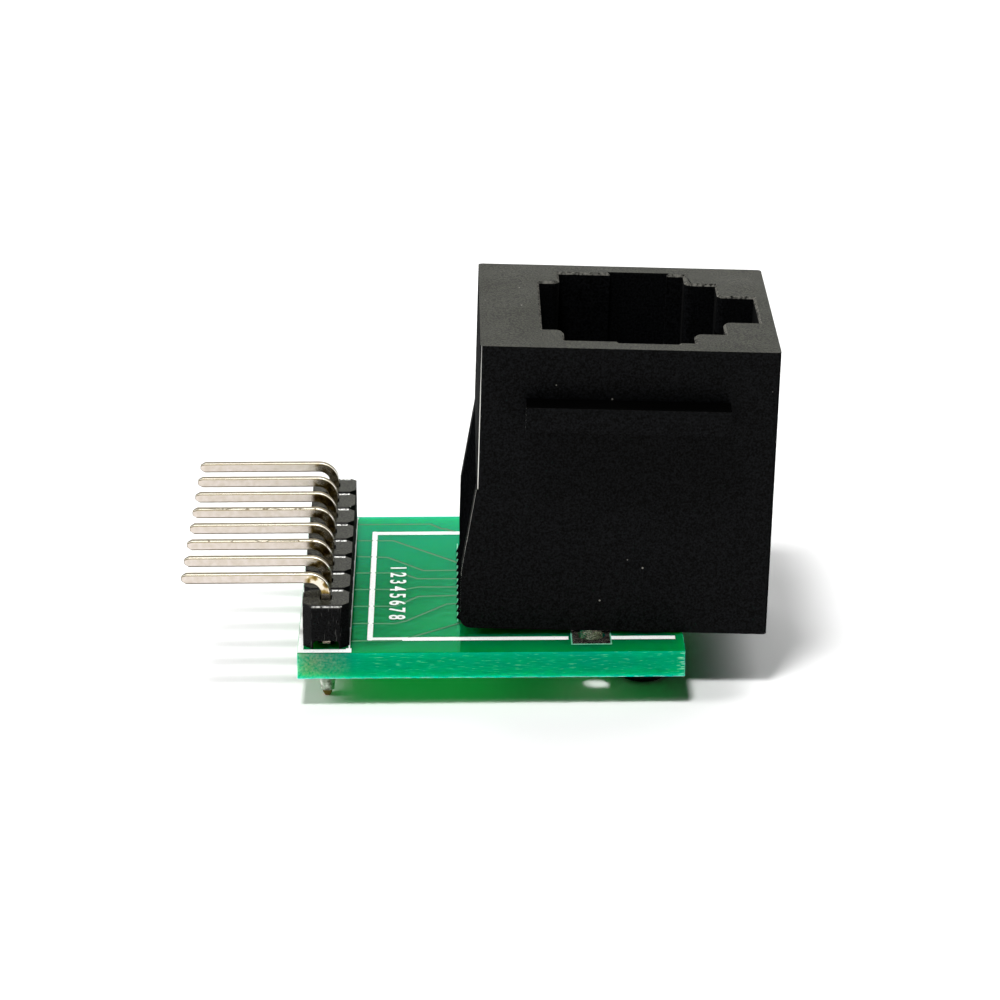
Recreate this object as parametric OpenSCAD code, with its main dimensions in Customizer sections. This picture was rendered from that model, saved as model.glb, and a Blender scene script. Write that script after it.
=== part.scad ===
// RJ45 breakout board: a top-entry 8-way modular jack and a right-angle pin header,
// both soldered to one small circuit board.
// X runs from the header to the jack, Y along the header row, Z up.
// The origin is under the middle of the whole part, where it stands.

/* [Board] */
// Length of the board from the header edge to the jack edge
board_l = 20.9; // [19.9:0.1:24]
// Width of the board along the header row
board_w = 21; // [20.5:0.1:24]
// Thickness of the board
board_t = 1.5; // [0.8:0.1:2]

/* [Header] */
// Spacing of the header pins
pin_pitch = 2.54; // [2.5:0.01:2.6]
// Distance of the pin row from the board's edge
header_inset = 1.55; // [1.4:0.05:2.2]
// Shift of the header row from the board's middle
header_shift = 0.25; // [-0.3:0.05:0.3]
// Width of the header's insulator across the row
insulator_w = 2.5; // [2.3:0.05:2.7]
// Height of the insulator
insulator_h = 2.48; // [2:0.02:3]
// Depth of the notch cut at each corner of one insulator segment
segment_cut = 0.48; // [0.2:0.02:0.6]
// Depth of the groove across the top between two segments
top_groove = 0.17; // [0.05:0.01:0.3]
// Width of the channel under the insulator
channel_w = 1.4; // [1.1:0.1:1.8]
// Height of the channel under the insulator
channel_h = 0.45; // [0.2:0.05:0.8]
// Width of the square recess round each pin
well_w = 0.95; // [0.8:0.05:1.2]
// Depth of the square recess round each pin
well_depth = 0.22; // [0.1:0.02:0.5]

/* [Header pins] */
// Side of the square pin
pin_size = 0.5; // [0.4:0.02:0.64]
// Clearance all round a pin in the insulator
pin_fit = 0.01; // [0:0.005:0.03]
// Distance from the pin row to the pin's tip
pin_reach = 7.78; // [6:0.02:12]
// Height of the pin's level axis over the board's top
pin_rise = 3.64; // [3.6:0.02:6]
// Radius of the bend along the pin's axis
pin_bend_r = 0.9; // [0.5:0.05:1.1]
// Length of the pin's tail under the board
pin_tail = 1.7; // [1.6:0.05:3]
// Length of the taper at each end of a pin
pin_taper = 0.27; // [0.1:0.01:0.5]
// Diameter of the plated hole for a header pin
pin_hole_d = 1; // [0.95:0.05:1.3]

/* [Jack on the board] */
// Lean of the soldered jack away from the header, in degrees
jack_lean = 1.78; // [0:0.02:2.2]
// How far the jack's base reaches past the board's edge
jack_overhang = 4.55; // [3.8:0.05:4.8]
// Gap between the jack's base and the board's edge
jack_seat_gap = 0.05; // [0.02:0.01:0.2]
// Shift of the jack from the board's middle, along the row
jack_shift = -0.44; // [-0.6:0.02:0.6]
// Height of the housing
jack_h = 16.1; // [15.6:0.1:18]
// Radius of the housing's upright edges
edge_r = 0.25; // [0.1:0.05:0.5]

/* [Plug opening] */
// Distance from the contact face to the plug's body space
contact_wall = 4.5; // [4.4:0.05:5]
// Length of the plug's body space
body_l = 7; // [6.8:0.1:8]
// Width of the plug's body space
body_w = 12.4; // [12.2:0.05:13]
// Thickness of the walls beside the plug
side_wall = 1.4; // [1.2:0.05:2]
// Depth of the recess over the contacts
recess_l = 1.15; // [0.9:0.05:1.4]
// Width of the recess over the contacts
recess_w = 8.7; // [8.6:0.05:9.4]
// Length of the step behind the plug's body
step_l = 1.7; // [1.2:0.1:2]
// Width of the step behind the plug's body
step_w = 9.1; // [8:0.1:10]
// Length of the slot for the latch
latch_l = 2; // [1.6:0.1:2.4]
// Width of the slot for the latch
latch_w = 4.7; // [4.2:0.1:5.2]
// Thickness of the wall behind the latch
latch_wall = 0.8; // [0.6:0.05:1.5]
// Height of the lip that the latch locks under
latch_lip = 2.2; // [1.5:0.1:3]
// Extra width on each side of the latch slot under its lip
latch_undercut = 1; // [0.5:0.1:1.5]
// Radius of the corners that point into the opening
corner_r = 0.45; // [0.2:0.05:0.6]
// Width of the shallow groove in each side wall
groove_w = 3.2; // [2:0.1:4]
// Depth of the shallow groove in each side wall
groove_depth = 0.25; // [0.1:0.05:0.5]
// Distance from the plug's body space to the groove
groove_offset = 2.9; // [2:0.1:3.4]
// Thickness of the floor under the plug
floor_t = 3; // [2.6:0.1:3.4]

/* [Housing outside] */
// Length of the rail on each side
rail_l = 10.9; // [8:0.1:12]
// Distance from the contact face to the rail
rail_start = 2.5; // [1:0.1:3]
// How far the rail stands out
rail_out = 1.6; // [0.5:0.1:2]
// Height of the rail
rail_h = 1.35; // [1:0.05:2]
// Distance from the mouth down to the rail
rail_drop = 2.85; // [2:0.05:5]
// How far the side walls flare out at the foot
flare = 0.69; // [0.3:0.01:1]
// Height where the flare is full
flare_low = 3.3; // [2.5:0.1:4]
// Height where the flare begins
flare_top = 8; // [7:0.1:8.6]
// Radius of the flare's bottom corner
foot_r = 0.6; // [0.3:0.05:0.9]

/* [Locating pegs] */
// Diameter of a peg
peg_d = 3.1; // [2.8:0.05:3.2]
// Spacing of the two pegs
peg_spacing = 11.43; // [11:0.01:12]
// Distance from the second contact row to the pegs
peg_to_row = 6.35; // [6:0.05:7]
// Length of a peg under the housing
peg_len = 3.2; // [2.5:0.05:4]
// Height and depth of the taper at the peg's tip
peg_taper = 0.3; // [0.1:0.05:0.6]
// Diameter of the hole for a peg
peg_hole_d = 3.25; // [3.25:0.05:3.6]

/* [Contacts] */
// Diameter of the contact wire
wire_d = 0.4; // [0.3:0.02:0.44]
// Clearance round a wire in the carrier
wire_gap = 0.05; // [0.03:0.01:0.08]
// Spacing of the contacts in the opening
contact_pitch = 1.02; // [1:0.01:1.05]
// Spacing of the tails along the row
tail_pitch = 1.27; // [1.2:0.01:1.35]
// Distance between the two rows of tails
row_gap = 2.54; // [2.4:0.02:2.6]
// Distance from the contact face to the second row of tails
row_x = 3.05; // [2.95:0.01:3.15]
// Length of the tails under the housing
tail_len = 3.3; // [3:0.05:3.4]
// Diameter of the plated hole for a contact's tail
tail_hole_d = 0.9; // [0.8:0.05:1]
// Angle of the springs from the plug's path, in degrees
spring_angle = 18; // [14:1:20]

/* [Contact carrier] */
// Thickness of the housing's wall outside the contacts
skin_t = 0.8; // [0.6:0.05:0.9]
// Gap between the wires and the housing's outer wall
run_gap = 0.15; // [0.1:0.01:0.2]
// Thickness of the slab that the wires bend round
slab_t = 1.3; // [1.1:0.05:1.5]
// Depth from the mouth to the space over the wires
lip_depth = 3.15; // [2.8:0.05:3.6]
// Clearance between the carrier and the housing
carrier_fit = 0.05; // [0.03:0.01:0.1]
// Gap between the carrier and the plane of the housing's base
carrier_lift = 0.2; // [0.1:0.05:0.4]
// Thickness of the carrier's wall behind the comb
comb_back = 2.2; // [2.1:0.05:2.4]
// Height of the teeth that part the springs' free ends
tooth_h = 1.7; // [1.2:0.1:2]
// Height of the springs' free ends over the carrier's foot
spring_end_gap = 1.1; // [0.8:0.1:1.2]

/* [Shield tab holes] */
// Diameter of the spare hole on each side of the jack
shield_hole_d = 1.6; // [1.2:0.05:1.8]
// Spacing of the two spare holes
shield_spacing = 15.49; // [15.2:0.01:15.8]
// Distance from the spare holes to the pegs
shield_to_peg = 2.97; // [2.8:0.01:3.3]

/* [Solder] */
// Diameter of the solder on a header pad
pin_pad_d = 1.8; // [1.6:0.05:2]
// Height of the solder on a header pin
pin_solder_h = 1.3; // [0.8:0.05:1.4]
// Diameter of the solder on a contact pad
tail_pad_d = 1.4; // [1.3:0.05:1.6]
// Height of the solder on a contact tail
tail_solder_h = 1.1; // [0.7:0.05:1.2]
// Thickness of the solder at the top of its fillet
solder_skin = 0.04; // [0.02:0.01:0.08]

/* [Hidden] */
WAYS = 8;

$fn = 48;
WIRE_SIDES = 8;     // sides of the swept wire
BEND_STEPS = 9;     // rings round the top bend of a contact
KNEE_STEPS = 3;     // rings round a small bend
FILLET_STEPS = 6;   // cones that make a solder fillet
FILLET_POWER = 2.4; // how hollow the fillet is
TIP_SHARE = 0.5;    // a pin's tip as a share of its side
past = 1;           // how far a cutter runs past the surface it opens

// Housing, measured from the middle of the foot of its contact face.
body_x = contact_wall;
step_x = body_x + body_l;
latch_x = step_x + step_l;
jack_w = latch_x + latch_l + latch_wall;
jack_d = body_w + 2 * side_wall;
bay_top = jack_h - lip_depth;

// Header row, measured from the middle of the board's underside.
row_header_x = header_inset - board_l / 2;
pin_axis_z = board_t + pin_rise;

// Contact rows and pegs, measured as the housing is.
near_row_x = row_x - row_gap;
peg_x = row_x + peg_to_row;

// The jack leans about the board's edge.
edge_x = board_l / 2;
jack_reach = jack_w - jack_overhang;
pivot_z = board_t + jack_seat_gap;

// Wire route: up beside the skin, over the carrier's nose and down as a spring.
wire_r = wire_d / 2;
slot_half = wire_r + wire_gap;
run_x = skin_t + run_gap + wire_r;
slab_x = run_x + slot_half;
nose_x = slab_x + slab_t / 2;
nose_r = slab_t / 2;
bend_r = nose_r + slot_half;
nose_z = bay_top - wire_gap - wire_r - bend_r;
comb_top = flare_top - carrier_fit;
fan_low = comb_top + wire_gap;
fan_high = nose_z - nose_r;
near_bend_drop = 0.5;
far_bend_drop = 0.9;
far_bend_rise = 3.4;
low_bend_cut = 0.5;
high_bend_cut = 0.35;
near_knees = [flare_low, flare_top - near_bend_drop];
far_knees = [floor_t - far_bend_drop, floor_t + far_bend_rise];
spring_x = nose_x + bend_r * cos(spring_angle);
spring_z = nose_z + bend_r * sin(spring_angle);
spring_end_z = floor_t + spring_end_gap;
spring_end_x = spring_x + (spring_z - spring_end_z) * tan(spring_angle);
tail_overlap = 0.4;
tail_top = carrier_lift + tail_overlap;

// Carrier
comb_x = slab_x + comb_back;
tooth_front = 0.55;
tooth_back = 0.95;
foot_x = spring_end_x + tooth_back;
rib_w = tail_pitch - 2 * slot_half;
fin_w = contact_pitch - 2 * slot_half;
fin_r = bend_r + wire_r / 2;

// Whole part: where it stands and its middle.
function lean_x(x, z) = edge_x + (x - jack_reach) * cos(jack_lean) + z * sin(jack_lean);
function lean_z(x, z) = pivot_z - (x - jack_reach) * sin(jack_lean) + z * cos(jack_lean);
// Where an upright line of the leaning jack crosses the middle of the board.
function board_cross_z(x) = (board_t / 2 - lean_z(x, 0)) / cos(jack_lean);
function board_cross_x(x) = lean_x(x, board_cross_z(x));
peg_tip_r = peg_d / 2 - peg_taper;
stand_h = max(pin_tail, -lean_z(peg_x + peg_tip_r, -peg_len));
part_left = row_header_x - pin_reach;
part_right = lean_x(jack_w, jack_h);
middle_x = (part_left + part_right) / 2;

function header_y(i) = header_shift + (i - (WAYS + 1) / 2) * pin_pitch;
function tail_y(i) = (i - (WAYS + 1) / 2) * tail_pitch;
function contact_y(i) = (i - (WAYS + 1) / 2) * contact_pitch;
function in_near_row(i) = i % 2 == 1;
function tail_x(i) = in_near_row(i) ? near_row_x : row_x;
function knees(i) = in_near_row(i) ? near_knees : far_knees;

// ---- placing ----

module stand() {
    translate([-middle_x, 0, stand_h]) children();
}

module on_jack() {
    stand()
        translate([edge_x, jack_shift, pivot_z])
            rotate([0, jack_lean, 0])
                translate([-jack_reach, 0, 0]) children();
}

// Extrudes a shape drawn in X and Z from y0 to y1.
module along_y(y0, y1) {
    translate([0, y1, 0]) rotate([90, 0, 0]) linear_extrude(y1 - y0) children();
}

// ---- board ----

module board() {
    color("#1d9e5b") stand() difference() {
        translate([-board_l / 2, -board_w / 2, 0]) cube([board_l, board_w, board_t]);
        for (i = [1:WAYS]) {
            board_hole(row_header_x, header_y(i), pin_hole_d);
            board_hole(board_cross_x(tail_x(i)), jack_shift + tail_y(i), tail_hole_d);
        }
        for (side = [-1, 1]) {
            board_hole(board_cross_x(peg_x), jack_shift + side * peg_spacing / 2, peg_hole_d);
            board_hole(board_cross_x(peg_x) - shield_to_peg,
                jack_shift + side * shield_spacing / 2, shield_hole_d);
        }
    }
}

module board_hole(x, y, d) {
    translate([x, y, -past]) cylinder(d = d, h = board_t + 2 * past);
}

// ---- pin header ----

module segment_outline() {
    w = insulator_w / 2;
    l = pin_pitch / 2;
    c = segment_cut;
    polygon([
        [-w, c - l], [c - w, -l], [w - c, -l], [w, c - l],
        [w, l - c], [w - c, l], [c - w, l], [-w, l - c]
    ]);
}

module header_insulator() {
    row_end = (WAYS + 1) / 2 * pin_pitch;
    color("#26262a") stand() translate([row_header_x, header_shift, board_t]) difference() {
        for (i = [1:WAYS])
            translate([0, header_y(i) - header_shift, 0])
                linear_extrude(insulator_h) segment_outline();
        for (i = [0:WAYS])
            translate([0, (i - WAYS / 2) * pin_pitch, insulator_h])
                rotate([45, 0, 0])
                    cube([insulator_w + past, top_groove * sqrt(2), top_groove * sqrt(2)], center = true);
        along_y(-row_end, row_end) channel_section();
        for (i = [1:WAYS]) translate([0, header_y(i) - header_shift, 0]) {
            hole = pin_size + 2 * pin_fit;
            translate([-hole / 2, -hole / 2, -past]) cube([hole, hole, insulator_h + 2 * past]);
            translate([-well_w / 2, -well_w / 2, insulator_h - well_depth])
                cube([well_w, well_w, well_depth + past]);
        }
    }
}

// Flat-topped channel with round upper corners.
module channel_section() {
    r = channel_h / 2;
    translate([-channel_w / 2, -past]) square([channel_w, past + r]);
    translate([r - channel_w / 2, 0]) square([channel_w - 2 * r, channel_h]);
    for (side = [-1, 1])
        translate([side * (channel_w / 2 - r), r]) circle(r = r);
}

module header_pin(i) {
    color("#d8d2c4") stand() translate([row_header_x, header_y(i), 0]) pin_body();
}

module pin_body() {
    half = pin_size / 2;
    level_end = pin_reach - pin_taper;
    translate([-half, -half, pin_taper - pin_tail])
        cube([pin_size, pin_size, pin_tail - pin_taper + pin_axis_z - pin_bend_r]);
    translate([-pin_bend_r, 0, pin_axis_z - pin_bend_r])
        rotate([90, 0, 0]) rotate_extrude(angle = 90)
            translate([pin_bend_r, 0]) square(pin_size, center = true);
    translate([-level_end, -half, pin_axis_z - half])
        cube([level_end - pin_bend_r, pin_size, pin_size]);
    translate([0, 0, pin_taper - pin_tail]) rotate([180, 0, 0]) pin_point();
    translate([-level_end, 0, pin_axis_z]) rotate([0, -90, 0]) pin_point();
}

module pin_point() {
    linear_extrude(pin_taper, scale = TIP_SHARE) square(pin_size, center = true);
}

// ---- jack housing ----

// Side view of a side wall's flared foot, round at its bottom corner.
module flare_section() {
    polygon([
        [0, flare_top], [-flare, flare_low], [-flare, foot_r],
        [foot_r - flare, 0], [skin_t, 0], [skin_t, flare_top]
    ]);
    translate([foot_r - flare, foot_r]) circle(r = foot_r);
}

module rounded_block(l, w, h, r) {
    linear_extrude(h) {
        translate([r, -w / 2]) square([l - 2 * r, w]);
        translate([0, r - w / 2]) square([l, w - 2 * r]);
        for (x = [r, l - r], side = [-1, 1])
            translate([x, side * (w / 2 - r)]) circle(r = r);
    }
}

// Opening between x0 and x1, as wide as w about the middle.
module span(x0, x1, w) {
    translate([x0, -w / 2]) square([x1 - x0, w]);
}

// Rounds a corner of plastic that points into the opening.
// way_x and way_y point from the corner into the plastic.
module round_corner(x, y, way_x, way_y) {
    for (side = [-1, 1]) scale([1, side]) difference() {
        translate([way_x > 0 ? x : x - corner_r, way_y > 0 ? y : y - corner_r])
            square(corner_r);
        translate([x + way_x * corner_r, y + way_y * corner_r]) circle(r = corner_r);
    }
}

// The plug's body space with its step and latch slot, seen from the mouth.
module plug_outline() {
    span(body_x, step_x, body_w);
    span(body_x - recess_l, body_x + past, recess_w);
    span(step_x - past, latch_x, step_w);
    span(latch_x - past, latch_x + latch_l, latch_w);
    span(body_x + groove_offset, body_x + groove_offset + groove_w, body_w + 2 * groove_depth);
    round_corner(body_x, recess_w / 2, -1, 1);
    round_corner(step_x, step_w / 2, 1, 1);
    round_corner(latch_x, latch_w / 2, 1, 1);
}

module plug_space() {
    translate([0, 0, floor_t]) linear_extrude(jack_h - floor_t + past) difference() {
        plug_outline();
        span(body_x - recess_l - past, body_x, recess_w + 2 * corner_r + past);
    }
    translate([0, 0, bay_top]) linear_extrude(lip_depth + past) plug_outline();
    translate([0, 0, floor_t]) linear_extrude(jack_h - latch_lip - floor_t)
        span(latch_x - past, latch_x + latch_l - latch_wall / 2, latch_w + 2 * latch_undercut);
}

// Room inside the skin where the wires close up from the tails' spacing.
module fan_room() {
    low_w = tail_y(WAYS) + slot_half;
    high_w = recess_w / 2;
    translate([skin_t, 0, 0]) rotate([90, 0, 90]) linear_extrude(slab_x - skin_t)
        polygon([
            [-low_w, flare_top - past], [low_w, flare_top - past], [low_w, flare_top],
            [high_w, fan_high], [-high_w, fan_high], [-low_w, flare_top]
        ]);
}

// Room for the contact carrier: open at the foot, at the comb and towards the plug.
module carrier_bay() {
    foot_end = foot_x + carrier_fit;
    translate([-flare - past, -body_w / 2, -past])
        cube([foot_end + flare + past, body_w, floor_t + 2 * past]);
    translate([-flare - past, -body_w / 2, 0])
        cube([body_x + flare + 2 * past, body_w, flare_top]);
    translate([skin_t, -recess_w / 2, 0])
        cube([body_x - skin_t + past, recess_w, bay_top]);
}

module peg() {
    translate([0, 0, peg_taper - peg_len]) cylinder(d = peg_d, h = peg_len - peg_taper + floor_t / 2);
    translate([0, 0, -peg_len]) cylinder(r1 = peg_tip_r, r2 = peg_d / 2, h = peg_taper);
}

module jack_housing() {
    color("#1b1b1d") on_jack() {
        difference() {
            union() {
                rounded_block(jack_w, jack_d, jack_h, edge_r);
                for (side = [-1, 1]) {
                    wall_y = side > 0 ? jack_d / 2 - side_wall : -jack_d / 2;
                    rail_y = side > 0 ? body_w / 2 + side_wall / 2 : -jack_d / 2 - rail_out;
                    along_y(wall_y, wall_y + side_wall) flare_section();
                    translate([rail_start, rail_y, jack_h - rail_drop - rail_h])
                        cube([rail_l, rail_out + side_wall / 2, rail_h]);
                }
            }
            plug_space();
            carrier_bay();
            fan_room();
        }
        for (side = [-1, 1])
            translate([peg_x, side * peg_spacing / 2, 0]) peg();
    }
}

// ---- contact carrier ----

// Side view of one comb rib, which follows the flare of the side walls.
module rib_section() {
    polygon([
        [0, comb_top], [-flare, flare_low], [-flare, carrier_lift],
        [slab_x, carrier_lift], [slab_x, comb_top]
    ]);
}

// Side view of the space left of a wire, from its tail up to the run.
module slot_section(x, z0, z1) {
    far_left = -flare - past;
    polygon([
        [far_left, -past], [x + slot_half, -past], [x + slot_half, z0],
        [slab_x, z1], [slab_x, comb_top + past], [far_left, comb_top + past]
    ]);
}

module contact_carrier() {
    inner_w = body_w - 2 * carrier_fit;
    slab_w = recess_w - 2 * carrier_fit;
    color("#202022") on_jack() {
        difference() {
            union() {
                translate([slab_x - rib_w / 2, -inner_w / 2, carrier_lift])
                    cube([foot_x - slab_x + rib_w / 2, inner_w, floor_t - carrier_lift]);
                translate([slab_x, -inner_w / 2, carrier_lift])
                    cube([comb_x - slab_x, inner_w, comb_top - carrier_lift]);
                translate([slab_x, -slab_w / 2, comb_top - past])
                    cube([slab_t, slab_w, nose_z - comb_top + past]);
                along_y(-slab_w / 2, slab_w / 2)
                    translate([nose_x, nose_z]) circle(r = nose_r);
                for (i = [0:WAYS]) {
                    rib_y = (i - WAYS / 2) * tail_pitch;
                    fin_y = (i - WAYS / 2) * contact_pitch;
                    along_y(rib_y - rib_w / 2, rib_y + rib_w / 2) rib_section();
                    along_y(fin_y - fin_w / 2, fin_y + fin_w / 2)
                        translate([nose_x, nose_z]) circle(r = fin_r);
                    translate([spring_end_x - tooth_front, fin_y - fin_w / 2, floor_t / 2])
                        cube([tooth_front + tooth_back, fin_w, floor_t / 2 + tooth_h]);
                }
            }
            for (i = [1:WAYS])
                along_y(tail_y(i) - slot_half, tail_y(i) + slot_half)
                    slot_section(tail_x(i), knees(i)[0], knees(i)[1]);
        }
    }
}

// ---- contacts ----

// Points of a smooth corner at b on the way from a to c, cut r from the corner.
function knee(a, b, c, r) =
    let (start = b + (a - b) * r / norm(a - b), end = b + (c - b) * r / norm(c - b))
    [for (k = [0:KNEE_STEPS])
        let (t = k / KNEE_STEPS)
        start * (1 - t) * (1 - t) + b * 2 * t * (1 - t) + end * t * t];

// Middle line of a contact above its straight tail.
function contact_route(i) =
    let (
        x = tail_x(i), y = tail_y(i), yc = contact_y(i), z = knees(i),
        foot = [x, y, tail_top], low = [x, y, z[0]], high = [run_x, y, z[1]],
        fan_a = [run_x, y, fan_low], fan_b = [run_x, yc, fan_high],
        top = [run_x, yc, nose_z]
    )
    concat(
        [foot],
        knee(foot, low, high, low_bend_cut),
        knee(low, high, fan_a, high_bend_cut),
        [fan_a, fan_b],
        [for (k = [0:BEND_STEPS])
            let (a = 180 - k / BEND_STEPS * (180 - spring_angle))
            [nose_x + bend_r * cos(a), yc, nose_z + bend_r * sin(a)]],
        [[spring_end_x, yc, spring_end_z]]
    );

function unit(v) = v / norm(v);

// Direction of a route at its point k.
function heading(route, k) =
    unit(route[min(k + 1, len(route) - 1)] - route[max(k - 1, 0)]);

// Round wire along a route that never runs along Y.
module wire(route) {
    n = WIRE_SIDES;
    last = len(route) - 1;
    rings = [for (k = [0:last])
        let (t = heading(route, k), u = unit(cross(t, [0, 1, 0])), v = cross(u, t))
        for (s = [0:n - 1])
            let (a = (s + 0.5) * 360 / n)
            route[k] + wire_r * (cos(a) * u + sin(a) * v)];
    sides = [for (k = [0:last - 1], s = [0:n - 1])
        let (a = k * n + s, b = k * n + (s + 1) % n)
        [a, b, b + n, a + n]];
    start = [for (s = [n - 1:-1:0]) s];
    end = [for (s = [0:n - 1]) last * n + s];
    polyhedron(points = rings, faces = concat(sides, [start], [end]), convexity = 6);
}

module tail_rod(i) {
    translate([tail_x(i), tail_y(i), -tail_len]) cylinder(r = wire_r, h = tail_len + tail_top);
}

module jack_contact(i) {
    color("#d9b25a") on_jack() {
        wire(contact_route(i));
        tail_rod(i);
    }
}

// ---- solder ----

// Radius of a fillet at a share t of its height, from pad to neck.
function fillet_r(pad_r, neck_r, t) = neck_r + (pad_r - neck_r) * pow(1 - t, FILLET_POWER);

// Solder that fills a plated hole and climbs the pin under the board.
module solder_joint(hole_d, pad_d, neck_r, h) {
    rotate_extrude() polygon(concat(
        [[0, board_t], [hole_d / 2, board_t], [hole_d / 2, 0], [pad_d / 2, 0]],
        [for (k = [1:FILLET_STEPS])
            let (t = k / FILLET_STEPS)
            [fillet_r(pad_d / 2, neck_r, t), -h * t]],
        [[0, -h]]
    ));
}

module header_solder(i) {
    neck_r = pin_size / 2 * sqrt(2) + solder_skin;
    color("#b9bcc0") stand() difference() {
        translate([row_header_x, header_y(i), 0])
            solder_joint(pin_hole_d, pin_pad_d, neck_r, pin_solder_h);
        translate([row_header_x, header_y(i), 0]) pin_body();
    }
}

module contact_solder(i) {
    color("#b9bcc0") difference() {
        stand() translate([board_cross_x(tail_x(i)), jack_shift + tail_y(i), 0])
            solder_joint(tail_hole_d, tail_pad_d, wire_r + solder_skin, tail_solder_h);
        on_jack() tail_rod(i);
    }
}

board();
header_insulator();
jack_housing();
contact_carrier();
for (i = [1:WAYS]) {
    header_pin(i);
    jack_contact(i);
    header_solder(i);
    contact_solder(i);
}
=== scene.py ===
"""Looks for the RJ45 breakout board: jack, comb carrier, pin header, printed board and studio."""

import math

import bmesh
import bpy
from mathutils import Matrix, Vector


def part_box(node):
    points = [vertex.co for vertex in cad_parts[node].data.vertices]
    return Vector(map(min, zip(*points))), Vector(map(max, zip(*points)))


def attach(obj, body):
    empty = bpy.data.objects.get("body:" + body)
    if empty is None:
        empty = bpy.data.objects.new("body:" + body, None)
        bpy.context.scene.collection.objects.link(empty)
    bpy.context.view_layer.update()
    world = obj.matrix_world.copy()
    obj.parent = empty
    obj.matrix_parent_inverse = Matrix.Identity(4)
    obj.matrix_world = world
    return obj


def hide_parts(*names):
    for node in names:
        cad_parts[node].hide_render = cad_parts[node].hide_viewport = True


MM = 0.001
WAYS = range(1, 9)

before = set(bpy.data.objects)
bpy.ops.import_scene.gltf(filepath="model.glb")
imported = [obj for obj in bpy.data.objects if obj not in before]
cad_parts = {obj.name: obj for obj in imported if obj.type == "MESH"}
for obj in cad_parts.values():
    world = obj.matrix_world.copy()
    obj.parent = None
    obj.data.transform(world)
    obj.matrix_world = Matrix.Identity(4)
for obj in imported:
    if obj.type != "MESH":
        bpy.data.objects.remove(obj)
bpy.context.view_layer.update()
bpy.ops.object.select_all(action="DESELECT")

# ---- places, in metres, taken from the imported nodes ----

BOARD_LOW, BOARD_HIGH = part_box("board")
BOARD_THICKNESS = BOARD_HIGH[2] - BOARD_LOW[2]
HOUSING_LOW, HOUSING_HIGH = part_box("jack_housing")
HEADER_LOW, HEADER_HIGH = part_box("header_insulator")
COMB_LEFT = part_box("contact_carrier")[0][0]
PIN_LOW, PIN_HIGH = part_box("header_pin_1")
PIN_SIDE = PIN_HIGH[1] - PIN_LOW[1]
PIN_BEND = PIN_HIGH[0] - 1.45 * MM
PIN_PITCH = 2.54 * MM
CONTACT_PITCH = 1.02 * MM
# The middle of the spare shield-tab pads along the board, in mm, and how far their mask stands off it.
TAB_ALONG, TAB_OPENING = 15.89, 1.06
MOUTH_RIM = HOUSING_HIGH[2] - 0.75 * MM

# The jack leans away from the header. Its own sizes are in mm, square to it.
LEAN = math.radians(1.78)
JACK_LENGTH, JACK_HALF_WIDTH, JACK_HEIGHT = 16.0, 7.6, 16.1
JACK_FOOT = Vector((
    HOUSING_HIGH[0] - MM * (JACK_LENGTH * math.cos(LEAN) + JACK_HEIGHT * math.sin(LEAN)),
    (HOUSING_LOW[1] + HOUSING_HIGH[1]) / 2,
    HOUSING_HIGH[2] - MM * JACK_HEIGHT * math.cos(LEAN)))


def on_board(x, y, lift=0.0):
    """A point on the board's top, in mm from its left front corner."""
    return Vector((BOARD_LOW[0] + x * MM, BOARD_LOW[1] + y * MM, BOARD_HIGH[2] + lift * MM))


def in_jack(point):
    """A point of the leaning jack, in mm along its own length, width and height."""
    away = Vector(point) - JACK_FOOT
    length = away.x * math.cos(LEAN) - away.z * math.sin(LEAN)
    height = away.x * math.sin(LEAN) + away.z * math.cos(LEAN)
    return Vector((length, away.y, height)) / MM


# ---- colours and nodes ----

# A colour Mix node's inputs.
FACTOR, FIRST, SECOND = 0, 6, 7


def shade(code):
    """An sRGB hex colour as linear RGBA."""
    parts = [int(code[i:i + 2], 16) / 255 for i in (1, 3, 5)]
    return (*(p / 12.92 if p <= 0.04045 else ((p + 0.055) / 1.055) ** 2.4 for p in parts), 1.0)


def new_material(name):
    material = bpy.data.materials.new(name)
    material.use_nodes = True
    material.node_tree.nodes.clear()
    return material, material.node_tree


def add(tree, kind, inputs=None, stops=(), **settings):
    """Adds a node with its settings and colour stops, and sets or links its inputs.

    An input is given a value, a socket, or a node, which stands for its result."""
    node = tree.nodes.new("ShaderNode" + kind)
    for name, value in settings.items():
        setattr(node, name, value)
    for name, value in (inputs or {}).items():
        if isinstance(value, bpy.types.Node):
            value = next(socket for socket in value.outputs if socket.enabled)
        if isinstance(value, bpy.types.NodeSocket):
            tree.links.new(value, node.inputs[name])
        else:
            node.inputs[name].default_value = value
    for _ in stops[2:]:
        node.color_ramp.elements.new(1.0)
    for number, (position, code) in enumerate(stops):
        element = node.color_ramp.elements[number]
        element.position, element.color = position, shade(code)
    return node


def grain(millimetres):
    """Noise scale that gives features of this size on Object coordinates in metres."""
    return 1 / (millimetres * MM)


def surface(tree):
    """Where a point lies, whole and split into X, Y and Z, and which way its face looks."""
    place = add(tree, "TexCoord").outputs["Object"]
    spot = add(tree, "SeparateXYZ", {"Vector": place})
    facing = add(tree, "SeparateXYZ", {"Vector": add(tree, "NewGeometry").outputs["Normal"]})
    return place, spot, facing


# ---- black plastics ----

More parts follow.
